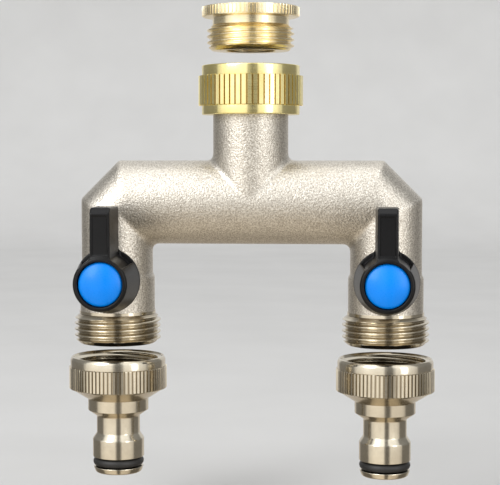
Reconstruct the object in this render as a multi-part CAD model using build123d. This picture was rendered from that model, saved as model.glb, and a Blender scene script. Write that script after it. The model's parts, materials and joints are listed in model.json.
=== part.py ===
from build123d import *
import math
import os

# Two-way hose splitter for an outdoor tap. Millimetres, +Z up.
# The origin is the centre of the tap adapter's top face, where the tap enters.
# The pieces stand apart along Z, as before they are screwed together:
# the adapter above the union nut, the hose connectors below the outlets.

# Parallel pipe threads, drawn as rings of the right pitch and depth.
pitch = 1.814
g34_crest_r = 13.22
g34_root_r = 12.06
g12_minor_r = 9.32
socket_r = 13.30            # plain bore that takes a G3/4 crest
thread_end_r = 11.70        # lead-in chamfer at the end of a male thread

# Tap adapter, from its top face at z = 0 downwards
adapter_height = 13.25
flange_r = 14.75
flange_height = 3.2
flange_ribs = 76
flange_rib_depth = 0.3
undercut_r = 11.55
undercut_height = 2.8
adapter_lip_r = 7.5
adapter_lip_height = 2.0
adapter_relief_r = 10.6
adapter_relief_height = 2.2

# Union nut
nut_gap = 4.4               # free height between the adapter and the nut
nut_height = 14.9
nut_band_r = 14.85
nut_band_low = 2.75
nut_band_high = 3.1
nut_band_groove = 0.25
nut_edge = 0.4
nut_rib_r = 15.85
nut_ribs = 58
nut_rib_depth = 0.45
nut_floor = 2.5
nut_hole_r = 11.6

# Cast manifold
leg_x = 41.1
neck_r = 11.4
neck_bore_r = 8.5
neck_top_drop = 9.6         # neck's top face below the nut's top face
header_top_drop = 13.8      # header's top below the nut's bottom face
header_half_height = 12.7
header_half_depth = 11.5
header_bore_r = 8.0
leg_half_width = 10.85
leg_r = 11.4
leg_above = 15.0            # how far a leg runs on above the header axis, before its mitre
leg_step_drop = 22.2
thread_top_drop = 34.1
outlet_drop = 43.2
outlet_bore_r = 8.8
corner_reach = 8.45         # header and leg axes' crossing to the cut corner, at 45 degrees
neck_blend_r = 1.7
crook_blend_r = 1.6

# Snap ring in the neck
wire_r = 0.8
ring_groove_r = 10.7
ring_gap_deg = 40
ring_rest = 0.15            # free height between the nut's floor and the ring
ring_play = 0.02

# Ball valves, as distances from the leg's axis
stem_drop = 22.7
ball_r = 7.5
ball_bore_r = 4.75
seat_face_r = 7.55
seat_near = 3.9
seat_far = 6.6
seat_bore_r = 5.0
chamber_r = 8.2
chamber_spare = 0.6         # thread run-out below the retainer
fit_gap = 0.05
retainer_height = 3.4
key_slot_width = 2.0
key_slot_depth = 1.2
passage_r = 5.5
slot_width = 2.7
slot_floor = 5.7
tang_thickness = 2.6
tang_width = 5.4
tang_play = 0.1
shoulder_r = 3.9
shoulder_near = 8.3
shoulder_play = 0.2
shoulder_far = 9.3
thrust_thickness = 0.5
thrust_play = 0.03
stem_r = 3.0
stem_hole_r = 3.05
flats_start = 16.0
stem_end = 24.0
flats_width = 4.4
seal_wire_r = 0.62
seal_line_r = 2.4
seal_groove_width = 1.5
seal_heights = (11.6, 13.7)
boss_r = 7.0
boss_end = 15.3
boss_start = 8.0
drill_start = 5.0          # inside the ball chamber, where the stem's holes begin

# Handles
handle_back = 16.3
handle_flange_r = 9.6
handle_flange_end = 18.0
handle_edge = 0.5
handle_front = 31.2
handle_rim_r = 7.8
waist_r = 8.3
waist_start_deg = 36
lever_reach = 22.1
lever_width = 7.0
lever_front_width = 5.9
lever_front = 30.7
lever_chamfer = 1.6
stop_inner_r = 5.0
stop_outer_r = 6.9
stop_half_deg = 12
stop_play = 0.3
stop_play_deg = 1.5
stop_reach = 18.3
pocket_depth = 2.6
cap_r = 6.45
cap_seat = 27.8
cap_edge = 30.2
cap_apex = 32.2
recess_r = 6.6
screw_floor = 24.2          # top of the handle's web under the screw head
screw_head_r = 3.3
screw_head_height = 2.0
screw_r = 1.55
screw_length = 8.0
screw_well_r = 3.6
cross_length = 3.6
cross_width = 0.8
cross_depth = 1.0

# Hose connectors, as drops below their top rim
connector_gap = 4.2         # free height between an outlet and its connector
connector_height = 36.0
grip_r = 15.0
grip_ribs = 76
grip_rib_depth = 0.4
grip_band_r = 14.6
grip_band = 3.0
grip_edge = 0.5
grip_edge_height = 0.8
grip_end = 9.9
cone_start_r = 13.7
cone_start = 10.5
cone_end = 13.1
socket_depth = 9.8
shoulder_ring_r = 9.3
shoulder_ring_end = 16.6
spigot_neck_r = 6.65
spigot_neck_start = 18.5
spigot_neck_end = 23.9
collar_r = 7.9
collar_start = 25.6
oring_start = 31.2
oring_end = 34.2
oring_wire_r = 1.3
oring_groove_r = 5.2
spigot_bore_r = 4.5
tip_r = 7.1
tip_edge_r = 7.7

# Flat sealing washers
washer_height = 2.5
washer_rest = 0.1           # free height under a loose washer
inlet_washer_r = 12.9
inlet_washer_bore_r = 8.7
connector_washer_r = 13.1
connector_washer_bore_r = 7.0
adapter_washer_r = 10.4
adapter_washer_bore_r = 7.0
adapter_washer_height = 1.9

# Heights that follow from the sizes above
nut_top = -adapter_height - nut_gap
nut_bottom = nut_top - nut_height
neck_top = nut_top - neck_top_drop
header_z = nut_bottom - header_top_drop - header_half_height
stem_z = header_z - stem_drop
outlet_z = header_z - outlet_drop
connector_top = outlet_z - connector_gap
ring_groove_z = nut_bottom + nut_floor + ring_rest + wire_r
sides = {"left": -leg_x, "right": leg_x}


def turned(points):
    """A solid turned about Z from its half outline in (radius, height)."""
    outline = make_face(Plane.XZ * Polyline(*points, close=True))
    return revolve(outline, Axis.Z)


def disc(radius, low, high):
    """A plain cylinder on Z between two heights."""
    return Pos(0, 0, low) * extrude(Circle(radius), high - low)


def washer(outer_r, inner_r, low, high):
    """A flat ring on Z between two heights."""
    return Pos(0, 0, low) * extrude(Circle(outer_r) - Circle(inner_r), high - low)


def polar(radius, degrees):
    """The point at a radius and an angle in the XY plane."""
    angle = math.radians(degrees)
    return (radius * math.cos(angle), radius * math.sin(angle))


def sector(inner_r, outer_r, start_deg, end_deg, low, high):
    """A piece of a ring about Z, between two angles and two heights."""
    steps = max(2, math.ceil((end_deg - start_deg) / 4))
    angles = [start_deg + (end_deg - start_deg) * i / steps for i in range(steps + 1)]
    outline = [polar(outer_r, angle) for angle in angles]
    outline += [polar(inner_r, angle) for angle in reversed(angles)]
    return Pos(0, 0, low) * extrude(make_face(Polyline(*outline, close=True)), high - low)


def ribbed(outer_r, rib_depth, count, groove_share, low, high):
    """A disc whose rim carries upright flat-topped ribs."""
    step = 360 / count
    edges = [
        (outer_r, 0),
        (outer_r, step * (1 - groove_share)),
        (outer_r - rib_depth, step * (1 - 0.8 * groove_share)),
        (outer_r - rib_depth, step * (1 - 0.2 * groove_share)),
    ]
    outline = [polar(r, i * step + a) for i in range(count) for r, a in edges]
    return Pos(0, 0, low) * extrude(make_face(Polyline(*outline, close=True)), high - low)


def thread_outline(low, high):
    """Half outline of a male G3/4 thread, from its lower end to its upper end."""
    turns = int((high - low - pitch / 2) / pitch)
    start = high - turns * pitch
    points = [(thread_end_r, low), (g34_root_r, start)]
    for i in range(turns):
        base = start + i * pitch
        points += [
            (g34_crest_r, base + 0.38 * pitch),
            (g34_crest_r, base + 0.62 * pitch),
            (g34_root_r, base + 0.98 * pitch),
        ]
    return points


def snap_ring(line_r, section_r, gap_deg, height):
    """A round wire bent to an open ring about Z."""
    section = Plane.XZ * Pos(line_r, height) * Circle(section_r)
    ring = revolve(section, Axis.Z, revolution_arc=360 - gap_deg)
    return Rot(0, 0, gap_deg / 2) * ring


def oring(line_r, section_r, height):
    """A closed round ring about Z."""
    return Pos(0, 0, height) * Torus(line_r, section_r)


def tap_adapter():
    """Reducer from the union nut to a half-inch tap."""
    thread_top = -flange_height - undercut_height
    outline = [(0, -adapter_height)]
    outline += thread_outline(-adapter_height, thread_top)
    outline += [(undercut_r, thread_top), (undercut_r, -flange_height), (0, -flange_height)]
    body = turned(outline)
    body += ribbed(flange_r, flange_rib_depth, flange_ribs, 0.5, -flange_height, 0)
    relief_top = -adapter_height + adapter_lip_height + adapter_relief_height
    body -= disc(g12_minor_r, relief_top, 0)
    body -= disc(adapter_relief_r, -adapter_height + adapter_lip_height, relief_top)
    body -= disc(adapter_lip_r, -adapter_height, relief_top)
    return body


def union_nut():
    """Swivel nut: two plain bands, a ribbed grip between them, a floor with a hole."""
    rib_low = nut_bottom + nut_band_low + nut_band_groove
    rib_high = nut_top - nut_band_high - nut_band_groove
    body = turned([
        (0, nut_bottom),
        (nut_band_r - nut_edge, nut_bottom), (nut_band_r, nut_bottom + nut_edge),
        (nut_band_r, nut_top - nut_edge), (nut_band_r - nut_edge, nut_top),
        (0, nut_top),
    ])
    body += ribbed(nut_rib_r, nut_rib_depth, nut_ribs, 0.36, rib_low, rib_high)
    body -= disc(socket_r, nut_bottom + nut_floor, nut_top)
    body -= disc(nut_hole_r, nut_bottom, nut_top)
    return body


def mitre_plane(x):
    """Where the header and a leg meet, through the crossing of their axes."""
    side = math.copysign(1, x)
    along = Vector(side * leg_half_width, 0, header_half_height)
    return Plane(origin=(x, 0, header_z), x_dir=along, z_dir=along.cross(Vector(0, side, 0)))


def header_shell():
    """Outside of the header, an oval tube mitred at both ends."""
    reach = leg_x + leg_half_width + 2
    section = Plane.YZ * Ellipse(header_half_depth, header_half_height)
    tube = Pos(-reach, 0, header_z) * extrude(section, 2 * reach)
    for x in sides.values():
        tube = split(tube, bisect_by=mitre_plane(x), keep=Keep.TOP)
    return tube


def leg_shell(x):
    """Outside of one leg: oval and mitred above the step, round below it, then the thread."""
    step_z = header_z - leg_step_drop
    thread_top = header_z - thread_top_drop
    upper = extrude(Ellipse(leg_half_width, header_half_depth), leg_step_drop + leg_above)
    upper = split(Pos(x, 0, step_z) * upper, bisect_by=mitre_plane(x), keep=Keep.BOTTOM)
    lower = disc(leg_r, thread_top - 0.5, step_z)
    outline = [(0, outlet_z)] + thread_outline(outlet_z, thread_top) + [(0, thread_top)]
    return upper + Pos(x, 0, 0) * (lower + turned(outline))


def corner_cut(x):
    """What a round 45-degree face takes off the outer corner of an elbow."""
    side = math.copysign(1, x)
    offset = corner_reach - header_half_depth
    length = 3 * header_half_depth
    block = Pos(0, 0, length / 2) * Box(2 * length, 2 * length, length)
    rod = Rot(0, 90, 0) * Cylinder(header_half_depth, 3 * length)
    tool = Pos(0, 0, offset) * (block - rod)
    return Pos(x, 0, header_z) * Rot(0, side * 45, 0) * tool


def blended(shell, radius, x_low, x_high, z_low, z_high):
    """Rounds the edges that lie inside a box of X and Z."""
    chosen = []
    for edge in shell.edges():
        low = edge.bounding_box().min
        high = edge.bounding_box().max
        if x_low < low.X and high.X < x_high and z_low < low.Z and high.Z < z_high:
            chosen.append(edge)
    return fillet(chosen, radius)


def front(x, shape):
    """Places a valve piece: its own Z runs forward from the leg, its own Y runs up."""
    return Pos(x, 0, stem_z) * Rot(90, 0, 0) * shape


def waterway(x):
    """Passage, ball chamber and outlet mouth inside one leg."""
    shoulder = seat_far
    chamber_low = -seat_far - retainer_height - chamber_spare
    bore = disc(passage_r, shoulder - 0.5, stem_drop)
    bore += disc(chamber_r, chamber_low, shoulder)
    bore += disc(outlet_bore_r, stem_drop - outlet_drop - 1, chamber_low)
    return Pos(x, 0, stem_z) * bore


def manifold_body():
    """One casting: inlet neck, header, two legs with valve bosses and threaded outlets."""
    shell = header_shell()
    for x in sides.values():
        shell += leg_shell(x)
    for x in sides.values():
        shell -= corner_cut(x)
    shell += disc(neck_r, header_z, neck_top)
    header_top = header_z + header_half_height
    header_low = header_z - header_half_height
    shell = blended(shell, neck_blend_r, -neck_r - 1, neck_r + 1, header_z, header_top + 1)
    for x in sides.values():
        inner = sorted((x, x - math.copysign(leg_half_width + 1, x)))
        shell = blended(shell, crook_blend_r, *inner, header_low - 1, header_z)
    for x in sides.values():
        shell += front(x, disc(boss_r, boss_start, boss_end))
        lug = sector(stop_inner_r, stop_outer_r, -90 - stop_half_deg, -90 + stop_half_deg,
                     boss_end - 1, stop_reach)
        shell += front(x, lug)
    for x in sides.values():
        shell -= waterway(x)
        seat_end = shoulder_far + thrust_thickness + 2 * thrust_play
        shell -= front(x, disc(shoulder_r + shoulder_play, drill_start, seat_end))
        shell -= front(x, disc(stem_hole_r, drill_start, boss_end + 1))
        shell -= Pos(x, 0, header_z) * Sphere(header_bore_r)
    shell -= Pos(-leg_x, 0, header_z) * extrude(Plane.YZ * Circle(header_bore_r), 2 * leg_x)
    shell -= disc(neck_bore_r, header_z, neck_top + 1)
    shell -= washer(neck_r + 1, ring_groove_r, ring_groove_z - wire_r, ring_groove_z + wire_r)
    return shell


def nut_retaining_ring():
    """Split wire ring in the neck's groove, above the nut's floor."""
    line_r = ring_groove_r + wire_r + ring_play
    return snap_ring(line_r, wire_r - ring_play, ring_gap_deg, ring_groove_z)


def ball():
    """Drilled ball with a slot for the stem's tang."""
    body = Sphere(ball_r)
    body -= Rot(90, 0, 0) * Cylinder(ball_bore_r, 2 * ball_r + 2)
    body -= Pos(0, 0, slot_floor + 2) * Box(2 * ball_r, slot_width, 4)
    return body


def seat(sign):
    """Ring with a hollow face that holds the ball, above it (1) or below it (-1)."""
    low, high = sorted((sign * seat_near, sign * seat_far))
    return washer(chamber_r - fit_gap, seat_bore_r, low, high) - Sphere(seat_face_r)


def seat_retainer():
    """Threaded ring below the lower seat, with two slots for a key."""
    high = -seat_far
    body = washer(chamber_r - fit_gap, seat_bore_r, high - retainer_height, high)
    body -= Pos(0, 0, high - retainer_height) * Box(
        2 * chamber_r + 1, key_slot_width, 2 * key_slot_depth)
    return body


def stem():
    """Stem: tang, shoulder, shaft with two seal grooves, flats and a screw hole."""
    body = disc(stem_r, shoulder_near, stem_end)
    body += disc(shoulder_r, shoulder_near, shoulder_far)
    tang_start = slot_floor + tang_play
    body += Pos(0, 0, (tang_start + shoulder_near) / 2) * Box(
        tang_width, tang_thickness, shoulder_near - tang_start)
    for height in seal_heights:
        body -= washer(stem_r + 1, seal_line_r - seal_wire_r - 0.03,
                       height - seal_groove_width / 2, height + seal_groove_width / 2)
    for side in (-1, 1):
        body -= Pos(side * (flats_width / 2 + 2), 0, (flats_start + stem_end) / 2) * Box(
            4, 10, stem_end - flats_start)
    body -= disc(screw_r + fit_gap, stem_end - screw_length - 1.0, stem_end)
    return body


def thrust_washer():
    """Slip ring between the stem's shoulder and the casting."""
    low = shoulder_far + thrust_play
    return washer(shoulder_r + 0.1, stem_r + 0.1, low, low + thrust_thickness)


def handle():
    """Moulded handle: round skirt, lever, stop pocket, stem socket and cap recess."""
    body = turned([
        (0, handle_back), (handle_flange_r - handle_edge, handle_back),
        (handle_flange_r, handle_back + handle_edge), (handle_flange_r, handle_flange_end),
        (handle_rim_r, handle_front), (0, handle_front),
    ])
    body -= sector(waist_r, handle_flange_r + 1, waist_start_deg, 180 - waist_start_deg,
                   handle_flange_end, handle_front)
    outline = [
        (-lever_width / 2, handle_flange_end), (lever_width / 2, handle_flange_end),
        (lever_front_width / 2, lever_front), (-lever_front_width / 2, lever_front),
    ]
    arm = extrude(Plane.XZ * make_face(Polyline(*outline, close=True)), -lever_reach)
    tip = arm.edges().filter_by(Axis.X).group_by(Axis.Y)[-1]
    arm = chamfer(tip.sort_by(Axis.Z)[-1], lever_chamfer)
    body += arm
    body -= disc(recess_r, cap_seat, handle_front + 1)
    body -= disc(screw_well_r, screw_floor, cap_seat)
    socket = Circle(stem_r + fit_gap) & Rectangle(flats_width + 2 * fit_gap, 10)
    body -= Pos(0, 0, handle_back - 1) * extrude(socket, screw_floor - handle_back + 2)
    body -= sector(stop_inner_r - stop_play, stop_outer_r + stop_play,
                   -90 - stop_half_deg - stop_play_deg, stop_half_deg + stop_play_deg,
                   handle_back - 1, handle_back + pocket_depth)
    return body


def handle_screw():
    """Pan-head screw along the stem, with a cross recess."""
    head_low = screw_floor + fit_gap
    head_high = head_low + screw_head_height
    body = disc(screw_head_r, head_low, head_high)
    body += disc(screw_r, stem_end - screw_length, head_low)
    for turn in (0, 90):
        body -= Pos(0, 0, head_high) * Rot(0, 0, turn) * Box(
            cross_length, cross_width, 2 * cross_depth)
    return body


def handle_cap():
    """Domed cap pressed into the front of the handle."""
    rise = cap_apex - cap_edge
    dome_r = (cap_r ** 2 + rise ** 2) / (2 * rise)
    body = disc(cap_r, cap_seat, cap_apex)
    return body & (Pos(0, 0, cap_apex - dome_r) * Sphere(dome_r))


def hose_connector():
    """Turned connector: ribbed threaded socket and a quick-coupling spigot."""
    outline = [
        (0, 0), (grip_band_r - grip_edge, 0), (grip_band_r, -grip_edge_height),
        (grip_band_r, -grip_end), (cone_start_r, -cone_start), (shoulder_ring_r, -cone_end),
        (shoulder_ring_r, -shoulder_ring_end), (spigot_neck_r, -spigot_neck_start),
        (spigot_neck_r, -spigot_neck_end), (collar_r, -collar_start),
        (collar_r, -oring_start), (oring_groove_r, -oring_start),
        (oring_groove_r, -oring_end), (tip_edge_r, -oring_end),
        (tip_r, -connector_height), (0, -connector_height),
    ]
    body = turned(outline)
    body += ribbed(grip_r, grip_rib_depth, grip_ribs, 0.5, -grip_end, -grip_band)
    body -= disc(socket_r, -socket_depth, 0)
    body -= disc(spigot_bore_r, -connector_height, 0)
    return body


adapter_washer_low = -adapter_height + adapter_lip_height + washer_rest
connector_washer_low = -socket_depth + washer_rest
solids = {
    "manifold_body": manifold_body(),
    "union_nut": union_nut(),
    "nut_retaining_ring": nut_retaining_ring(),
    "inlet_washer": washer(
        inlet_washer_r, inlet_washer_bore_r, neck_top, neck_top + washer_height),
    "tap_adapter": tap_adapter(),
    "adapter_washer": washer(
        adapter_washer_r, adapter_washer_bore_r,
        adapter_washer_low, adapter_washer_low + adapter_washer_height),
}

for side, x in sides.items():
    at_ball = Pos(x, 0, stem_z)
    solids[f"{side}_ball"] = front(x, ball())
    solids[f"{side}_upper_seat"] = at_ball * seat(1)
    solids[f"{side}_lower_seat"] = at_ball * seat(-1)
    solids[f"{side}_seat_retainer"] = at_ball * seat_retainer()
    solids[f"{side}_stem"] = front(x, stem())
    seals = [oring(seal_line_r, seal_wire_r, height) for height in seal_heights]
    solids[f"{side}_stem_seals"] = front(x, Compound(seals))
    solids[f"{side}_thrust_washer"] = front(x, thrust_washer())
    solids[f"{side}_handle"] = front(x, handle())
    solids[f"{side}_handle_screw"] = front(x, handle_screw())
    solids[f"{side}_handle_cap"] = front(x, handle_cap())
    at_connector = Pos(x, 0, connector_top)
    solids[f"{side}_hose_connector"] = at_connector * hose_connector()
    solids[f"{side}_connector_washer"] = at_connector * washer(
        connector_washer_r, connector_washer_bore_r,
        connector_washer_low, connector_washer_low + washer_height)
    solids[f"{side}_spigot_oring"] = at_connector * oring(
        oring_groove_r + oring_wire_r, oring_wire_r, -(oring_start + oring_end) / 2)

os.makedirs("parts", exist_ok=True)
for name, solid in solids.items():
    export_step(solid, f"parts/{name}.step")
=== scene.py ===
import json
import math

import bpy
import numpy as np
import openvdb
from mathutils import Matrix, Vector


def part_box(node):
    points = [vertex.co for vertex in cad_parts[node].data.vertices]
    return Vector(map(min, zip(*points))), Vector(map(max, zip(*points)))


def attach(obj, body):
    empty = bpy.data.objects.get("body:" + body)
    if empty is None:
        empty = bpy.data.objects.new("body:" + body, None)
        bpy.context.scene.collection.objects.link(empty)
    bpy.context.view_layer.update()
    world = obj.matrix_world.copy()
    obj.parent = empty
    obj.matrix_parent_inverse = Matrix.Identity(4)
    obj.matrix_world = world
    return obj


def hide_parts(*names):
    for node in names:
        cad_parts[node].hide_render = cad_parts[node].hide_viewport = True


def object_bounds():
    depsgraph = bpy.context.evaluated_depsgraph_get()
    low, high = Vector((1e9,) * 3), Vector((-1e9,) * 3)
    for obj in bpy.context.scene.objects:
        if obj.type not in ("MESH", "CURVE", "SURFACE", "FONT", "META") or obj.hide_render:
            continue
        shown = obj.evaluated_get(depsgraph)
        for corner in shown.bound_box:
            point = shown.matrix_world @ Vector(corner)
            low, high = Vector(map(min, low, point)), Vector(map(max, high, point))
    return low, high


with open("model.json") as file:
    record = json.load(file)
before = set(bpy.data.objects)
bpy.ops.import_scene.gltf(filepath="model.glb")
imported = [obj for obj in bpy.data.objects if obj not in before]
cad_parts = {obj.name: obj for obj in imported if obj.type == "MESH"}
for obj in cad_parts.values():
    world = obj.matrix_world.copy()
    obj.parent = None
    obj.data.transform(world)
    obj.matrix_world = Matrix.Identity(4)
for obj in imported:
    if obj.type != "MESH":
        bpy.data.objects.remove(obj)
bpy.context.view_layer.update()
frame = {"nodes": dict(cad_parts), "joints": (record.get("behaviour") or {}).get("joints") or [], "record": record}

# Lengths below are in millimetres, in the frame of the CAD model, unless a name ends in _m.
MM = 0.001
PITCH = 1.814               # G3/4 and G1/2 parallel pipe threads
G34_ROOT = 12.06
G12_MINOR = 9.32
THREAD_DEPTH = 1.16
FEMALE_GAP = 0.13           # radial room between a male and a female thread
ROUND_STEPS = 192
THREAD_ROW = 0.12
NO_LIMIT = 1e6
SIDES = ("left", "right")


def mm_box(node):
    """Lowest and highest corners of a CAD node, in millimetres."""
    low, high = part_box(node)
    return np.array(low) / MM, np.array(high) / MM


# ---------------------------------------------------------------- meshes

def make_piece(name, points, faces, material, body, nodes, sharp_deg=38):
    """A mesh object from points in millimetres, riding on a body in place of CAD nodes."""
    mesh = bpy.data.meshes.new(name)
    mesh.from_pydata((np.asarray(points) * MM).tolist(), [], faces)
    mesh.validate()
    mesh.update()
    mesh.shade_smooth()
    mesh.set_sharp_from_angle(angle=math.radians(sharp_deg))
    mesh.materials.append(material)
    piece = bpy.data.objects.new(name, mesh)
    bpy.context.scene.collection.objects.link(piece)
    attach(piece, body)
    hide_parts(*nodes)
    return piece


def rounded(corners, top, arc_steps=4):
    """Plain rows through corners (r, height over top, radius), the inner ones turned into arcs."""
    points = [np.array([r, top + z], float) for r, z, _ in corners]
    outline = [points[0]]
    for i in range(1, len(corners) - 1):
        here, radius = points[i], corners[i][2]
        before = points[i - 1] - here
        after = points[i + 1] - here
        long_before, long_after = np.linalg.norm(before), np.linalg.norm(after)
        before, after = before / long_before, after / long_after
        half = math.acos(np.clip(before @ after, -1, 1)) / 2
        if radius <= 0 or half > math.radians(88):
            outline.append(here)
            continue
        cut = min(radius / math.tan(half), 0.45 * long_before, 0.45 * long_after)
        start, end = here + before * cut, here + after * cut
        for k in range(arc_steps + 1):
            t = k / arc_steps
            outline.append((1 - t) ** 2 * start + 2 * t * (1 - t) * here + t * t * end)
    outline.append(points[-1])
    return plain_rows(outline)


def plain_rows(points):
    """Rows of an outline with neither ribs nor thread."""
    return [(float(r), float(z), 0.0, 0.0, NO_LIMIT) for r, z in points]


def rib_angles(count, groove_share):
    """Angles and depths (0 to 1) of flat-topped upright ribs with narrow grooves between them."""
    edge = 0.5 - groove_share / 2
    floor = 0.5 - groove_share / 4
    marks = [(-edge, 0.0), (edge, 0.0), (floor, 1.0), (1 - floor, 1.0)]
    angles = [(i + t) * 2 * math.pi / count for i in range(count) for t, _ in marks]
    depths = [d for _ in range(count) for _, d in marks]
    return np.array(angles), np.array(depths)


def thread_height(turns):
    """Whitworth-like form, 0 at the root and 1 at the crest, with both rounded."""
    saw = 1 - 4 * np.abs((turns % 1.0) - 0.5)
    steep = 1.5 * saw
    return 0.5 + 0.5 * steep / (1 + np.abs(steep) ** 7) ** (1 / 7)


def turned(centre, rows, angles=None, depths=None):
    """Sweeps rows (r, z, rib depth, thread depth, largest radius) round an upright axis.

    A thread is a right-hand helix in the row frame's z, so that a male and a female thread
    on one axis are in mesh, and stay in mesh as one screws along the other.
    """
    if angles is None:
        angles = np.arange(ROUND_STEPS) * 2 * math.pi / ROUND_STEPS
        depths = np.zeros(ROUND_STEPS)
    rows = np.array(rows)
    r, z, rib, thread, limit = (rows[:, i:i + 1] for i in range(5))
    turns = z / PITCH - angles[None, :] / (2 * math.pi)
    radius = np.minimum(r - rib * depths[None, :] + thread * thread_height(turns), limit)
    points = np.stack([centre[0] + radius * np.cos(angles), centre[1] + radius * np.sin(angles),
                       np.broadcast_to(z, radius.shape)], axis=-1)
    return points.reshape(-1, 3)


def ring_faces(row_count, step_count, closed=True):
    """Quads between neighbouring rows of a swept outline, facing outwards."""
    faces = []
    last = row_count if closed else row_count - 1
    for i in range(last):
        a, b = i * step_count, (i + 1) % row_count * step_count
        for j in range(step_count):
            k = (j + 1) % step_count
            faces.append((a + j, b + j, b + k, a + k))
    return faces


def male_rows(high, low, bevel_high, bevel_low):
    """Rows down a G3/4 male thread whose ends are bevelled, from the root's radius or less."""
    rows = []
    for z in np.linspace(high, low, int((high - low) / THREAD_ROW)):
        limit = min(bevel_high + 1.2 * (high - z), bevel_low + 1.2 * (z - low))
        rows.append((G34_ROOT, float(z), 0.0, THREAD_DEPTH, float(limit)))
    return rows


def female_rows(root, high, low):
    """Rows up a female thread, where the radius given is its smallest."""
    heights = np.linspace(low, high, int((high - low) / THREAD_ROW))
    return [(root, float(z), 0.0, THREAD_DEPTH, NO_LIMIT) for z in heights]


def ribbed_rows(radius, rib_depth, high, low, bevel):
    """Rows down a ribbed band whose ribs begin and end with a small bevel."""
    root = radius - rib_depth - 0.03    # just under the grooves, so that no face is empty
    shape = [(root, high, 0.0), (radius - bevel, high, rib_depth - bevel),
             (radius, high - bevel, rib_depth), (radius, low + bevel, rib_depth),
             (radius - bevel, low, rib_depth - bevel), (root, low, 0.0)]
    return [(r, z, rib, 0.0, NO_LIMIT) for r, z, rib in shape]


def smooth_min(a, b, k):
    """The smaller of two distances, with a blend of width k where they meet."""
    h = np.maximum(k - np.abs(a - b), 0) / k
    return np.minimum(a, b) - h * h * k * 0.25


def smooth_max(a, b, k):
    """The larger of two distances, with a blend of width k where they meet."""
    return -smooth_min(-a, -b, k)


def from_field(low, high, step, field, refine=2):
    """Quads on the zero surface of a distance field, sampled between two corners."""
    axes = [np.arange(a - 2 * step, b + 2 * step, step, dtype=np.float32) for a, b in zip(low, high)]
    x, y, z = np.meshgrid(*axes, indexing="ij", sparse=True)
    values = np.clip(field(x, y, z), -3 * step, 3 * step).astype(np.float32)
    grid = openvdb.FloatGrid(3 * step)
    grid.copyFromArray(np.ascontiguousarray(values))
    points, quads = grid.convertToQuads(isovalue=0.0)
    points = points.astype(float) * step + np.array([a[0] for a in axes], float)
    for _ in range(refine):
        points = settle(points, field, step)
    return points, quads.tolist()


def settle(points, field, step):
    """Moves points along the field's slope onto its zero surface."""
    delta = 0.05 * step
    here = field(*points.T)
    slope = np.stack([field(*(points + delta * np.eye(3)[i]).T) - here for i in range(3)], axis=1) / delta
    size = np.maximum((slope ** 2).sum(axis=1), 0.25)
    move = -(here / size)[:, None] * slope
    return points + np.clip(move, -0.5 * step, 0.5 * step)


# ---------------------------------------------------------------- materials

def new_material(name):
    """A material with its node tree, its Principled shader and its object coordinates."""
    material = bpy.data.materials.new(name)
    material.use_nodes = True
    nodes, links = material.node_tree.nodes, material.node_tree.links
    shader = nodes["Principled BSDF"]
    place = nodes.new("ShaderNodeTexCoord").outputs["Object"]
    return material, nodes, links, shader, place


def noise(nodes, links, place, scale, detail=4.0, rough=0.55):
    """A noise texture's value."""
    made = nodes.new("ShaderNodeTexNoise")
    made.inputs["Scale"].default_value = scale
    made.inputs["Detail"].default_value = detail
    made.inputs["Roughness"].default_value = rough
    links.new(place, made.inputs["Vector"])
    return made.outputs["Fac"]


def spread(nodes, links, value, low, high, to_low, to_high):
    """A value carried from one range to another."""
    made = nodes.new("ShaderNodeMapRange")
    for name, number in (("From Min", low), ("From Max", high), ("To Min", to_low), ("To Max", to_high)):
        made.inputs[name].default_value = number
    links.new(value, made.inputs["Value"])
    return made.outputs["Result"]


def blend_colours(nodes, links, value, first, second):
    made = nodes.new("ShaderNodeMix")
    made.data_type = "RGBA"
    for name, colour in (("A", first), ("B", second)):
        if isinstance(colour, tuple):
            made.inputs[name].default_value = (*colour, 1)
        else:
            links.new(colour, made.inputs[name])
    links.new(value, made.inputs["Factor"])
    return made.outputs["Result"]


def add_bump(nodes, links, shader, height, strength, distance_m, before=None):
    """Bump on a shader, over an earlier bump if there is one."""
    made = nodes.new("ShaderNodeBump")
    made.inputs["Strength"].default_value = strength
    made.inputs["Distance"].default_value = distance_m
    links.new(height, made.inputs["Height"])
    if before is not None:
        links.new(before, made.inputs["Normal"])
    links.new(made.outputs["Normal"], shader.inputs["Normal"])
    return made.outputs["Normal"]


def cast_nickel():
    """Nickel plate on a blasted casting: satin, warm grey, speckled."""
    material, nodes, links, shader, place = new_material("cast_nickel")
    shader.inputs["Metallic"].default_value = 1.0
    grain = noise(nodes, links, place, 2600, 3.0, 0.6)
    cloud = noise(nodes, links, place, 90, 3.0, 0.5)
    shade = spread(nodes, links, grain, 0.40, 0.60, 0.0, 1.0)
    colour = blend_colours(nodes, links, shade, (0.47, 0.43, 0.37), (0.81, 0.77, 0.69))
    links.new(colour, shader.inputs["Base Color"])
    links.new(spread(nodes, links, cloud, 0.3, 0.7, 0.36, 0.46), shader.inputs["Roughness"])
    coarse = noise(nodes, links, place, 1700, 2.0, 0.5)
    first = add_bump(nodes, links, shader, coarse, 0.55, 0.00025)
    add_bump(nodes, links, shader, grain, 0.7, 0.00012, first)
    return material


def between(nodes, links, value, low, high, soft):
    """1 where a value lies between two limits, falling to 0 over a soft edge outside them."""
    rising = spread(nodes, links, value, low - soft, low, 0, 1)
    falling = spread(nodes, links, value, high, high + soft, 1, 0)
    both = nodes.new("ShaderNodeMath")
    both.operation = "MULTIPLY"
    links.new(rising, both.inputs[0])
    links.new(falling, both.inputs[1])
    return both.outputs[0]


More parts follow.
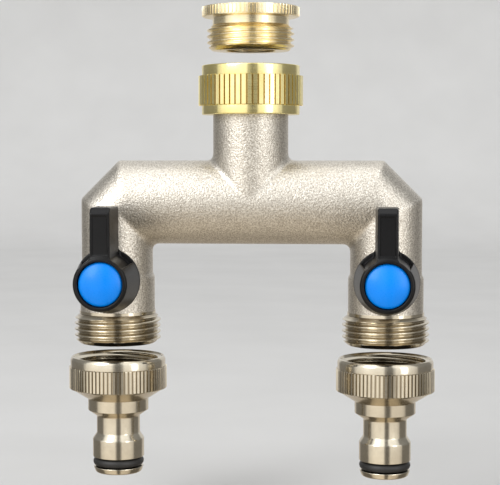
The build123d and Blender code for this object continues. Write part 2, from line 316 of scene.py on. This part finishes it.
def groove_shade_mask(nodes, links, place, grooves):
    """Where painted shade goes: 1 at the floor of ribs or threads about upright axes, 0 at their tops and
    elsewhere.

    grooves is (distance of the axes from the middle, floor radius, top radius, low, high) in mm.
    """
    axis_x, floor_r, top_r, low, high = (size * MM for size in grooves)
    apart = nodes.new("ShaderNodeSeparateXYZ")
    links.new(place, apart.inputs["Vector"])
    across = nodes.new("ShaderNodeMath")
    across.operation = "ABSOLUTE"
    links.new(apart.outputs["X"], across.inputs[0])
    inward = nodes.new("ShaderNodeMath")
    inward.operation = "SUBTRACT"
    links.new(across.outputs[0], inward.inputs[0])
    inward.inputs[1].default_value = axis_x
    flat = nodes.new("ShaderNodeCombineXYZ")
    links.new(inward.outputs[0], flat.inputs["X"])
    links.new(apart.outputs["Y"], flat.inputs["Y"])
    radius = nodes.new("ShaderNodeVectorMath")
    radius.operation = "LENGTH"
    links.new(flat.outputs["Vector"], radius.inputs[0])
    zone = between(nodes, links, apart.outputs["Z"], low, high, 0.05 * MM)
    depth = spread(nodes, links, radius.outputs["Value"], floor_r, top_r, 1, 0)
    # Painted shade: strongest at the groove floors inside the ribbed or threaded zone.
    shade_mask = nodes.new("ShaderNodeMath")
    shade_mask.operation = "MULTIPLY"
    links.new(zone, shade_mask.inputs[0])
    links.new(depth, shade_mask.inputs[1])
    return shade_mask.outputs[0]


def turned_metal(name, dark, light, roughness, line_scale=5200.0, grooves=None, painted_groove_shade=None):
    """Lathe-turned metal: fine rings about the axis, faint stains, and painted shade darkening the grooves."""
    material, nodes, links, shader, place = new_material(name)
    shader.inputs["Metallic"].default_value = 1.0
    cloud = noise(nodes, links, place, 160, 4.0, 0.6)
    colour = blend_colours(nodes, links, spread(nodes, links, cloud, 0.3, 0.7, 0, 1), dark, light)
    if grooves is not None:
        # Painted shade: the floors of ribs or thread grooves are blended towards a darker colour.
        shade_mask = groove_shade_mask(nodes, links, place, grooves)
        colour = blend_colours(nodes, links, shade_mask, colour, painted_groove_shade)
    links.new(colour, shader.inputs["Base Color"])
    squash = nodes.new("ShaderNodeMapping")
    squash.inputs["Scale"].default_value = (0.02, 0.02, 1.0)
    links.new(place, squash.inputs["Vector"])
    lines = noise(nodes, links, squash.outputs["Vector"], line_scale, 2.0, 0.6)
    links.new(spread(nodes, links, lines, 0.3, 0.7, roughness * 0.8, roughness * 1.35),
              shader.inputs["Roughness"])
    add_bump(nodes, links, shader, lines, 0.10, 0.00003)
    return material


def moulded(name, dark, light, roughness, grain=0.10, gloss=0.5):
    """Moulded plastic: fine spark-eroded grain, slight gloss changes."""
    material, nodes, links, shader, place = new_material(name)
    cloud = noise(nodes, links, place, 120, 3.0, 0.5)
    colour = blend_colours(nodes, links, spread(nodes, links, cloud, 0.3, 0.7, 0, 1), dark, light)
    links.new(colour, shader.inputs["Base Color"])
    shader.inputs["Specular IOR Level"].default_value = gloss
    fine = noise(nodes, links, place, 3800, 2.0, 0.5)
    links.new(spread(nodes, links, fine, 0.3, 0.7, roughness * 0.85, roughness * 1.15),
              shader.inputs["Roughness"])
    add_bump(nodes, links, shader, fine, grain, 0.00005)
    return material


BRIGHT_BRASS = ((0.92, 0.79, 0.34), (0.99, 0.88, 0.45))
TURNED_NICKEL = ((0.58, 0.525, 0.42), (0.70, 0.64, 0.515))
# Darker colours painted into the floors of ribs and thread grooves, as painted shade.
BRASS_PAINTED_GROOVE_SHADE = (0.50, 0.36, 0.12)
NICKEL_PAINTED_GROOVE_SHADE = (0.42, 0.365, 0.27)
MATERIALS = {
    "cast_nickel": cast_nickel(),
    "turned_nickel": turned_metal("turned_nickel", *TURNED_NICKEL, 0.15),
    "bright_brass": turned_metal("bright_brass", *BRIGHT_BRASS, 0.16),
    "pale_brass": turned_metal("pale_brass", (0.90, 0.77, 0.50), (0.97, 0.86, 0.60), 0.22),
    "black_plastic": moulded("black_plastic", (0.0035, 0.0035, 0.0040), (0.0065, 0.0065, 0.0070),
                             0.34, gloss=0.22),
    "blue_plastic": moulded("blue_plastic", (0.0, 0.21, 0.78), (0.0, 0.24, 0.86), 0.30, 0.03, gloss=0.3),
    "rubber": moulded("rubber", (0.010, 0.010, 0.010), (0.022, 0.021, 0.020), 0.5, 0.25),
    "seat_white": moulded("seat_white", (0.74, 0.74, 0.71), (0.84, 0.84, 0.82), 0.35, 0.05),
    "chrome": turned_metal("chrome", (0.70, 0.71, 0.73), (0.82, 0.83, 0.85), 0.08, 3000.0),
    "steel": turned_metal("steel", (0.50, 0.50, 0.51), (0.62, 0.62, 0.63), 0.25),
}


# ---------------------------------------------------------------- casting

cast_low, cast_high = mm_box("manifold_body")
nut_low, nut_high = mm_box("union_nut")
joint_at = {j["name"]: np.array(j["pos_m"]) / MM for j in frame["joints"] if "pos_m" in j}
LEG_X = joint_at["right_valve_turn"][0]
STEM_Z = joint_at["right_valve_turn"][2]
OUTLET_Z = cast_low[2]
NECK_TOP = cast_high[2]
HEADER_Z = STEM_Z + 22.7
THREAD_TOP = HEADER_Z - 34.1
HEADER_UP = 12.7            # half heights and half depths of the oval header and legs
DEPTH = 11.5
LEG_HALF = 10.85
LEG_ROUND = 11.4            # the machined end of a leg, above its thread
ROUND_DROP = 21.7           # header axis to where the leg turns from oval to round
ROUND_STEP = 1.1
CORNER_CUT = 3.05           # corner of the axes to the axis of the slanting elbow
NECK_R = 11.4
NECK_FILLET = 1.9
CROOK_FILLET = 1.9
GROOVE_FLOOR_R = 10.7       # groove of the ring that holds the nut
RING_WIRE_R = 0.8
RING_LIFT = 2.5 + 0.15      # nut's lower end to the underside of that ring
BOSS_R = 7.0
BOSS_START = 8.0
BOSS_END = 15.3
LUG_INNER_R = 5.0           # lever stop on the boss
LUG_OUTER_R = 6.9
LUG_HALF_DEG = 12
LUG_END = 18.3
WATERWAY_R = 8.0
NECK_BORE_R = 8.5
PASSAGE_R = 5.5             # between the header and a ball chamber
CHAMBER_R = 8.2
SEAT_FAR = 6.6
CHAMBER_DROP = 10.6
OUTLET_BORE_R = 8.8
SHOULDER_R = 4.1
SHOULDER_END = 9.9
STEM_HOLE_R = 3.05
DRILL_START = 5.0


def tube(a, b, half_a, half_b, scale):
    """Distance to an oval tube, and its outward direction along a and b."""
    far = np.sqrt((a / half_a) ** 2 + (b / half_b) ** 2)
    slope_a, slope_b = a / half_a ** 2, b / half_b ** 2
    size = np.sqrt(slope_a ** 2 + slope_b ** 2) + 1e-9
    return (far - 1) * scale, slope_a / size, slope_b / size


def blend_width(radius, cosine):
    """How wide a fillet of one radius is, where two surfaces cross at an angle."""
    return 4 * radius * (1 - np.sqrt(np.clip((1 + cosine) / 2, 0, 1))) + 0.05


def casting_outside(u, x, y, z):
    """Distance to the outside of the casting; u is x measured outwards from the near leg's axis."""
    w = z - HEADER_Z
    header, header_y, _ = tube(y, w, DEPTH, HEADER_UP, DEPTH)
    step = np.clip((-w - ROUND_DROP) / ROUND_STEP, 0, 1)
    half_x = LEG_HALF + (LEG_ROUND - LEG_HALF) * step
    half_y = DEPTH + (LEG_ROUND - DEPTH) * step
    leg, _, leg_y = tube(u, y, half_x, half_y, LEG_HALF)
    inner = (u < 0) & (w < 0)
    outer = (u > 0) & (w > 0)
    plain = np.where(w / HEADER_UP > u / LEG_HALF, header, leg)
    shell = np.where(inner, smooth_min(header, leg, blend_width(CROOK_FILLET, header_y * leg_y)), plain)
    shell = np.where(outer, smooth_max(header, leg, blend_width(0.5, header_y * leg_y)), shell)
    across = (u + w) / math.sqrt(2) + CORNER_CUT
    rod = np.sqrt(y * y + across * across) - DEPTH
    shell = np.where(across > 0, smooth_max(shell, rod, 0.02 + 0.08 * np.clip(across, 0, 6)), shell)
    round_neck = np.sqrt(x * x + y * y)
    neck = np.maximum(round_neck - NECK_R, -w)
    facing = header_y * y / (round_neck + 1e-9)
    shell = smooth_min(shell, neck, blend_width(NECK_FILLET, facing))
    shell = smooth_max(shell, z - NECK_TOP, 0.3)
    shell = smooth_max(shell, THREAD_TOP - 0.35 - z, 0.5)
    ring_z = z - (nut_low[2] + RING_LIFT + RING_WIRE_R)
    groove = np.maximum(GROOVE_FLOOR_R - round_neck, np.abs(ring_z) - RING_WIRE_R)
    shell = np.maximum(shell, -groove)
    stem = np.sqrt(u * u + (z - STEM_Z) ** 2)
    boss = np.maximum(stem - BOSS_R, y + BOSS_START)
    shell = smooth_min(shell, boss, 1.6)
    front = np.maximum(smooth_max(stem - BOSS_R, -BOSS_END - y, 0.5), y + 11.8)
    shell = np.where(y < -12.3, front, shell)
    angle = np.abs(np.arctan2(u, STEM_Z - z))
    lug = np.maximum(stem - LUG_OUTER_R, LUG_INNER_R - stem)
    lug = np.maximum(lug, (angle - math.radians(LUG_HALF_DEG)) * 6.0)
    lug = np.maximum(lug, np.maximum(-LUG_END - y, y + 14.5))
    return smooth_min(shell, lug, 0.3)


def casting_inside(u, x, y, z):
    """Distance to the waterways, ball chambers and stem holes."""
    w = z - HEADER_Z
    ring = np.sqrt(u * u + y * y)
    run = np.maximum(np.sqrt(y * y + w * w) - WATERWAY_R, u)
    end = np.sqrt(u * u + y * y + w * w) - WATERWAY_R
    cavity = np.minimum(run, end)
    cavity = smooth_min(cavity, np.maximum(np.sqrt(x * x + y * y) - NECK_BORE_R, -w), 1.5)
    lift = z - STEM_Z
    cavity = smooth_min(cavity, np.maximum(ring - PASSAGE_R, np.maximum(w, SEAT_FAR - 0.5 - lift)), 1.0)
    chamber = np.maximum(ring - CHAMBER_R, np.maximum(lift - SEAT_FAR, -CHAMBER_DROP - lift))
    mouth = np.maximum(ring - OUTLET_BORE_R, lift + CHAMBER_DROP)
    cavity = np.minimum(np.minimum(cavity, chamber), mouth)
    stem = np.sqrt(u * u + lift * lift)
    seat = np.maximum(stem - SHOULDER_R, np.maximum(-SHOULDER_END - y, y + DRILL_START))
    hole = np.maximum(stem - STEM_HOLE_R, y + DRILL_START)
    return np.minimum(cavity, np.minimum(seat, hole))


def casting(x, y, z):
    """Distance to the casting's surface, negative inside the metal."""
    u = np.abs(x) - LEG_X
    return smooth_max(casting_outside(u, x, y, z), -casting_inside(u, x, y, z), 0.25)


def build_casting():
    """The blasted casting, and its two machined outlets."""
    step = 0.4
    low = (cast_low[0], cast_low[1], THREAD_TOP - 1.0)
    points, quads = from_field(low, cast_high, step, casting)
    make_piece("casting", points, quads, MATERIALS["cast_nickel"], "manifold",
               ["manifold_body"], sharp_deg=50)
    high, low = THREAD_TOP, OUTLET_Z
    # Painted shade darkens the roots of the outlet threads.
    material = turned_metal("thread_nickel", *TURNED_NICKEL, 0.15, painted_groove_shade=NICKEL_PAINTED_GROOVE_SHADE,
                            grooves=(LEG_X, G34_ROOT, G34_ROOT + 0.55, low + 0.4, high))
    for side, x in (("left", -LEG_X), ("right", LEG_X)):
        collar = G34_ROOT - 0.4
        rows = plain_rows([(9.2, high + 0.9), (collar, high + 0.9), (collar, high + 0.02)])
        rows += male_rows(high, low + 0.2, 11.5, 11.7)
        rows += plain_rows([(11.4, low), (9.3, low), (OUTLET_BORE_R + 0.05, low + 0.35),
                            (OUTLET_BORE_R, low + 0.9), (OUTLET_BORE_R, high - 2.0),
                            (OUTLET_BORE_R + 0.05, high + 0.3)])
        points = turned((x, 0), rows)
        make_piece(f"{side}_outlet_thread", points, ring_faces(len(rows), ROUND_STEPS), material,
                   "manifold", ["manifold_body"])


# ---------------------------------------------------------------- nut and adapter

NUT_RIBS = 58
FINE_RIBS = 76
FINE_GROOVE = 0.46          # share of the pitch
NUT_GROOVE = 0.30
NUT_R = 15.85
FLANGE_RIB_R = 14.75
GRIP_R = 15.0


def build_nut():
    """Ribbed union nut with an inside thread and a floor that holds it on the neck."""
    low, high = nut_low[2], nut_high[2]
    angles, depths = rib_angles(NUT_RIBS, NUT_GROOVE)
    band, rib_low, rib_high = 14.85, low + 3.0, high - 3.35
    rows = rounded([(11.6, 2.5, 0), (11.6, 0, 0.25), (band, 0, 0.4), (band, 2.86, 0.12),
                    (band - 0.3, 2.96, 0)], low)
    rows += ribbed_rows(NUT_R, 0.5, rib_low, rib_high, 0.12)
    rows += rounded([(band - 0.3, -3.31, 0), (band, -3.21, 0.12), (band, 0, 0.4), (13.65, 0, 0.2),
                     (13.35, -0.4, 0)], high)
    rows += female_rows(G34_ROOT + FEMALE_GAP, high - 0.45, low + 8.0)[::-1]
    rows += plain_rows([(13.3, low + 7.8), (13.3, low + 2.5)])
    points = turned((0, 0), rows[::-1], angles, depths)
    # Painted shade darkens the grooves between the nut's ribs.
    material = turned_metal("nut_brass", *BRIGHT_BRASS, 0.19, painted_groove_shade=BRASS_PAINTED_GROOVE_SHADE,
                            grooves=(0, NUT_R - 0.5, NUT_R - 0.1, rib_low, rib_high))
    make_piece("brass_nut", points, ring_faces(len(rows), len(angles)), material, "nut",
               ["union_nut"])


def build_adapter():
    """Reducer: ribbed flange, undercut, outside thread, and a half-inch inside thread."""
    low, high = (corner[2] for corner in mm_box("tap_adapter"))
    angles, depths = rib_angles(FINE_RIBS, FINE_GROOVE)
    thread_top = high - 6.0
    rows = plain_rows([(G12_MINOR + 1.3, high), (14.1, high), (14.42, high - 0.12)])
    rows += ribbed_rows(FLANGE_RIB_R, 0.3, high - 0.25, high - 2.95, 0.1)
    rows += rounded([(14.42, -3.08, 0), (14.1, -3.2, 0.1), (11.55, -3.2, 0.4), (11.55, -5.6, 0)], high)
    rows += male_rows(thread_top + 0.3, low + 0.2, 11.7, 11.9)
    rows += plain_rows([(11.6, low), (7.8, low), (7.5, low + 0.3), (7.5, low + 2.0),
                        (10.6, low + 2.0), (10.6, low + 4.2)])
    rows += female_rows(G12_MINOR, high - 0.9, low + 4.3)
    points = turned((0, 0), rows, angles, depths)
    make_piece("brass_adapter", points, ring_faces(len(rows), len(angles)), MATERIALS["pale_brass"],
               "adapter", ["tap_adapter"])


# ---------------------------------------------------------------- hose connectors

def build_connector(side):
    """Turned connector: ribbed socket, stepped body, spigot collar and seal groove."""
    node = f"{side}_hose_connector"
    corner_low, corner_high = mm_box(node)
    x, top = (corner_low[0] + corner_high[0]) / 2, corner_high[2]
    angles, depths = rib_angles(FINE_RIBS, FINE_GROOVE)
    rows = plain_rows([(13.75, top), (14.0, top), (14.2, top - 0.15), (14.5, top - 0.8),
                       (14.6, top - 1.1), (14.6, top - 3.0)])
    rows += ribbed_rows(GRIP_R, 0.42, top - 3.05, top - 9.85, 0.15)
    shoulder = [(13.75, -10.3, 0.2), (9.7, -12.9, 0.3), (9.3, -13.1, 0.15), (9.3, -16.6, 0.15)]
    spigot = [(6.75, -18.4, 0.5), (6.65, -18.7, 0.3), (6.65, -23.7, 0.5), (7.8, -25.4, 0.3),
              (7.9, -25.7, 0.2), (7.9, -31.1, 0.15), (7.7, -31.2, 0.1)]
    seal_groove = [(5.2, -31.2, 0.2), (5.2, -34.2, 0.2)]
    tip = [(7.6, -34.2, 0.15), (7.65, -34.4, 0.1), (7.15, -35.7, 0.3), (6.8, -36.0, 0.2)]
    inside = [(5.0, -36.0, 0.2), (4.5, -35.5, 0.2), (4.5, -9.8, 0.2), (13.4, -9.8, 0.1),
              (13.4, -7.2, 0.1)]
    rows += rounded(shoulder + spigot + seal_groove + tip + inside, top)
    rows += female_rows(G34_ROOT + FEMALE_GAP, top - 0.7, top - 7.1)
    rows += plain_rows([(13.45, top - 0.5)])
    points = turned((x, 0), rows, angles, depths)
    # Painted shade darkens the grooves between the grip ribs.
    material = turned_metal(f"{side}_connector_nickel", *TURNED_NICKEL, 0.15, painted_groove_shade=NICKEL_PAINTED_GROOVE_SHADE,
                            grooves=(LEG_X, GRIP_R - 0.4, GRIP_R - 0.05, top - 9.85, top - 3.05))
    make_piece(f"{side}_nickel_connector", points, ring_faces(len(rows), len(angles)), material,
               f"{side}_connector", [node])


# ---------------------------------------------------------------- handles

HANDLE_BACK = 16.3
FLANGE_R = 9.6
FLANGE_END = 18.0
HANDLE_FRONT = 31.2
RIM_R = 7.8
LEVER_REACH = 22.1
LEVER_FRONT = 30.7
LEVER_HALF_BACK = 3.5
LEVER_HALF_FRONT = 2.95
CAP_R = 6.43
CAP_SEAT = 27.8
CAP_EDGE = 30.2
CAP_APEX = 32.2
WAIST_R = 8.3               # the sides of the skirt are cut back beside the lever
WAIST_START_DEG = 36
PANEL_MID = 14.1            # shallow panel on the lever's front
PANEL_HALF = 5.6
WELL_R = 3.6                # well of the screw, and its floor
WELL_FLOOR = 24.2
STEM_R = 3.05
FLATS_HALF = 2.25
POCKET_INNER_R = 4.7        # pocket that the lever stop moves in
POCKET_OUTER_R = 7.2
POCKET_FLOOR = 18.9
POCKET_START_DEG = -103.5
POCKET_END_DEG = 13.5


def handle_field(x, y, z):
    """A handle in its own frame: z forward from the leg's axis, y up along the lever."""
    r = np.sqrt(x * x + y * y)
    rise = z - FLANGE_END
    slope = (FLANGE_R - RIM_R) / (HANDLE_FRONT - FLANGE_END)
    cone = (r - (FLANGE_R - slope * rise)) * math.cos(math.atan(slope))
    skirt = smooth_max(smooth_max(cone, z - HANDLE_FRONT, 0.9), FLANGE_END - 0.5 - z, 0.3)
    angle = np.degrees(np.arctan2(y, np.abs(x)))
    waist = np.maximum(WAIST_R - 0.05 * rise - r, (WAIST_START_DEG - angle) * 0.14)
    waist = np.maximum(waist, -rise)
    skirt = smooth_max(skirt, -waist, 0.35)
    flange = smooth_max(smooth_max(r - FLANGE_R, rise, 0.35), HANDLE_BACK - z, 0.35)
    body = smooth_min(skirt, flange, 0.35)
    draft = (LEVER_HALF_BACK - LEVER_HALF_FRONT) / (LEVER_FRONT - FLANGE_END)
    half = LEVER_HALF_BACK - draft * rise - 0.004 * y
    arm = smooth_max(np.abs(x) - half, y - LEVER_REACH, 0.8)
    arm = smooth_max(arm, -y, 0.3)
    arm = smooth_max(arm, z - LEVER_FRONT, 0.4)
    arm = smooth_max(arm, -rise, 0.3)
    arm = smooth_max(arm, (z - LEVER_FRONT + y - LEVER_REACH + 1.6) / math.sqrt(2), 0.3)
    panel = np.maximum(np.abs(x) - half + 0.75, np.abs(y - PANEL_MID) - PANEL_HALF)
    panel = np.maximum(panel, LEVER_FRONT - 0.3 - z)
    arm = smooth_max(arm, -panel, 0.15)
    body = smooth_min(body, arm, 0.9)
    recess = np.maximum(r - CAP_R - 0.17, CAP_SEAT - z)
    body = smooth_max(body, -recess, 0.3)
    well = np.maximum(r - WELL_R, WELL_FLOOR - z)
    socket = np.maximum(np.maximum(r - STEM_R, np.abs(x) - FLATS_HALF), z - WELL_FLOOR - 0.1)
    turn = np.degrees(np.arctan2(y, x))
    outside = np.maximum(POCKET_START_DEG - turn, turn - POCKET_END_DEG) * 0.10
    pocket = np.maximum(r - POCKET_OUTER_R, POCKET_INNER_R - r)
    pocket = np.maximum(pocket, np.maximum(outside, z - POCKET_FLOOR))
    return np.maximum(body, -np.minimum(np.minimum(well, socket), pocket))


def build_handle(side):
    """Black handle with its lever, and the blue domed cap in its front."""
    x = joint_at[f"{side}_valve_turn"][0]
    step = 0.2
    low, high = (-FLANGE_R, -FLANGE_R, HANDLE_BACK), (FLANGE_R, LEVER_REACH, HANDLE_FRONT)
    points, quads = from_field(low, high, step, handle_field)
    world = np.stack([points[:, 0] + x, -points[:, 2], points[:, 1] + STEM_Z], axis=1)
    make_piece(f"{side}_lever_handle", world, quads, MATERIALS["black_plastic"], f"{side}_valve",
               [f"{side}_handle"], sharp_deg=45)
    rise = CAP_APEX - CAP_EDGE - 0.1
    dome = (CAP_R ** 2 + rise ** 2) / (2 * rise)
    rows = []
    for r in np.linspace(0.15, CAP_R - 0.25, 22):
        rows.append((r, CAP_APEX - dome + math.sqrt(dome ** 2 - r * r)))
    rows += [(CAP_R - 0.08, CAP_EDGE + 0.09), (CAP_R, CAP_EDGE - 0.12), (CAP_R, CAP_SEAT + 0.25),
             (CAP_R - 0.2, CAP_SEAT + 0.05), (0.1, CAP_SEAT + 0.05)]
    ring = turned((0, 0), plain_rows(rows))
    points = np.vstack([ring, [[0, 0, CAP_APEX], [0, 0, CAP_SEAT + 0.05]]])
    faces = ring_faces(len(rows), ROUND_STEPS, closed=False)
    tip, base, last = len(ring), len(ring) + 1, (len(rows) - 1) * ROUND_STEPS
    for j in range(ROUND_STEPS):
        k = (j + 1) % ROUND_STEPS
        faces.append((tip, j, k))
        faces.append((base, last + k, last + j))
    world = np.stack([points[:, 0] + x, -points[:, 2], points[:, 1] + STEM_Z], axis=1)
    make_piece(f"{side}_blue_cap", world, faces, MATERIALS["blue_plastic"], f"{side}_valve",
               [f"{side}_handle_cap"])


# ---------------------------------------------------------------- the rest

def paint_cad_nodes():
    """Gives every CAD node that stays in view its procedural material."""
    slots = {part["node"]: part["material_slot"] for part in frame["record"]["subparts"]}
    for name, node in frame["nodes"].items():
        node.data.materials.clear()
        node.data.materials.append(MATERIALS[slots[name]])


# Brightness round the studio, by the share of a full turn.
STUDIO_BANDS = [(0.0, 1.1), (0.09, 1.1), (0.115, 0.40), (0.27, 0.40), (0.30, 1.6), (0.37, 2.05),
                (0.48, 2.05), (0.507, 0.34), (0.545, 0.34), (0.57, 1.85), (0.67, 1.7), (0.715, 1.3),
                (0.735, 0.40), (0.88, 0.40), (0.905, 1.1), (1.0, 1.1)]


def world_light():
    """A pale studio with broad bright and dark upright bands, which turned metal needs."""
    world = bpy.data.worlds.new("studio")
    bpy.context.scene.world = world
    world.use_nodes = True
    nodes, links = world.node_tree.nodes, world.node_tree.links
    place = nodes.new("ShaderNodeTexCoord").outputs["Generated"]
    apart = nodes.new("ShaderNodeSeparateXYZ")
    links.new(place, apart.inputs["Vector"])
    turn = nodes.new("ShaderNodeMath")
    turn.operation = "ARCTAN2"
    flip = nodes.new("ShaderNodeMath")
    flip.operation = "MULTIPLY"
    flip.inputs[1].default_value = -1
    links.new(apart.outputs["Y"], flip.inputs[0])
    links.new(apart.outputs["X"], turn.inputs[0])
    links.new(flip.outputs[0], turn.inputs[1])
    share = spread(nodes, links, turn.outputs[0], -math.pi, math.pi, 0, 1)
    ramp = nodes.new("ShaderNodeValToRGB")
    ramp.color_ramp.interpolation = "EASE"
    elements = ramp.color_ramp.elements
    while len(elements) > 1:
        elements.remove(elements[-1])
    elements[0].position = STUDIO_BANDS[0][0]
    for position, level in STUDIO_BANDS:
        stop = elements[0] if position == 0.0 else elements.new(position)
        stop.color = (level, level, level, 1)
    links.new(share, ramp.inputs["Fac"])
    strength = spread(nodes, links, apart.outputs["Z"], -0.6, 0.6, 0.46, 0.82)
    ground = blend_colours(nodes, links, spread(nodes, links, apart.outputs["Z"], -0.7, 0.2, 0, 1),
                           (1.0, 0.88, 0.72), (1.0, 1.0, 1.0))
    tint = nodes.new("ShaderNodeVectorMath")
    tint.operation = "MULTIPLY"
    links.new(ramp.outputs["Color"], tint.inputs[0])
    links.new(ground, tint.inputs[1])
    links.new(tint.outputs["Vector"], nodes["Background"].inputs["Color"])
    links.new(strength, nodes["Background"].inputs["Strength"])


def add_area(name, at_m, aim_m, size_m, watts):
    """A rectangular lamp aimed at a point."""
    light = bpy.data.lights.new(name, "AREA")
    light.shape = "RECTANGLE"
    light.size, light.size_y = size_m
    light.energy = watts
    lamp = bpy.data.objects.new(name, light)
    bpy.context.scene.collection.objects.link(lamp)
    lamp.location = at_m
    lamp.rotation_euler = (Vector(aim_m) - Vector(at_m)).to_track_quat("-Z", "Y").to_euler()


FLOOR_DROP = 14.0           # the object hangs this far above the floor
FLOOR_REACH = 3000.0
WALL_START = 1200.0         # far enough back to leave room for a camera behind the object
WALL_TURN = 400.0
WALL_HEIGHT = 2600.0


def build_stage():
    """Pale floor that curves up into a backdrop."""
    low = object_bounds()[0]
    floor_z = low[2] / MM - FLOOR_DROP
    profile = [(FLOOR_REACH, floor_z), (-WALL_START, floor_z)]
    for k in range(1, 17):
        a = math.pi / 2 * k / 16
        profile.append((-WALL_START - WALL_TURN * math.sin(a), floor_z + WALL_TURN * (1 - math.cos(a))))
    profile.append((-WALL_START - WALL_TURN, floor_z + WALL_HEIGHT))
    points, faces = [], []
    for y, z in profile:
        points += [(-FLOOR_REACH * MM, -y * MM, z * MM), (FLOOR_REACH * MM, -y * MM, z * MM)]
    for i in range(len(profile) - 1):
        faces.append((2 * i, 2 * i + 1, 2 * i + 3, 2 * i + 2))
    mesh = bpy.data.meshes.new("backdrop")
    mesh.from_pydata(points, [], faces)
    mesh.shade_smooth()
    material, nodes, links, shader, place = new_material("pale_paper")
    tone = spread(nodes, links, noise(nodes, links, place, 14, 2.0), 0.3, 0.7, 0, 1)
    colour = blend_colours(nodes, links, tone, (0.60, 0.60, 0.595), (0.63, 0.63, 0.625))
    links.new(colour, shader.inputs["Base Color"])
    shader.inputs["Roughness"].default_value = 0.9
    mesh.materials.append(material)
    backdrop = bpy.data.objects.new("backdrop", mesh)
    backdrop.visible_glossy = False
    bpy.context.scene.collection.objects.link(backdrop)


VIEW_AZIMUTH = math.radians(4.4)
VIEW_ELEVATION = math.radians(3.64)
VIEW_DISTANCE = 440.0
VIEW_LENS = 103.8


def add_camera():
    """A little to the right of the middle and looking slightly down."""
    azimuth, elevation, distance = VIEW_AZIMUTH, VIEW_ELEVATION, VIEW_DISTANCE
    aim = Vector((-0.23, 0, HEADER_Z - 12.3))
    away = Vector((math.sin(azimuth) * math.cos(elevation), -math.cos(azimuth) * math.cos(elevation),
                   math.sin(elevation)))
    camera_data = bpy.data.cameras.new("camera")
    camera_data.lens = VIEW_LENS
    camera_data.sensor_width = 36.0
    camera_data.clip_start = 0.01
    camera = bpy.data.objects.new("camera", camera_data)
    bpy.context.scene.collection.objects.link(camera)
    camera.location = (aim + away * distance) * MM
    camera.rotation_euler = (-away).to_track_quat("-Z", "Y").to_euler()
    bpy.context.scene.camera = camera


paint_cad_nodes()
build_casting()
build_nut()
build_adapter()
for side in SIDES:
    build_connector(side)
    build_handle(side)
world_light()
build_stage()
MIDDLE_M = (0, 0, -0.07)
add_area("key", (-0.45, -0.55, 0.35), MIDDLE_M, (0.35, 0.5), 2.4)
add_area("fill", (0.55, -0.5, 0.10), MIDDLE_M, (0.2, 0.6), 1.0)
add_area("top", (0.0, -0.05, 0.7), MIDDLE_M, (0.5, 0.5), 0.9)
add_camera()
bpy.context.scene.view_settings.view_transform = "Standard"
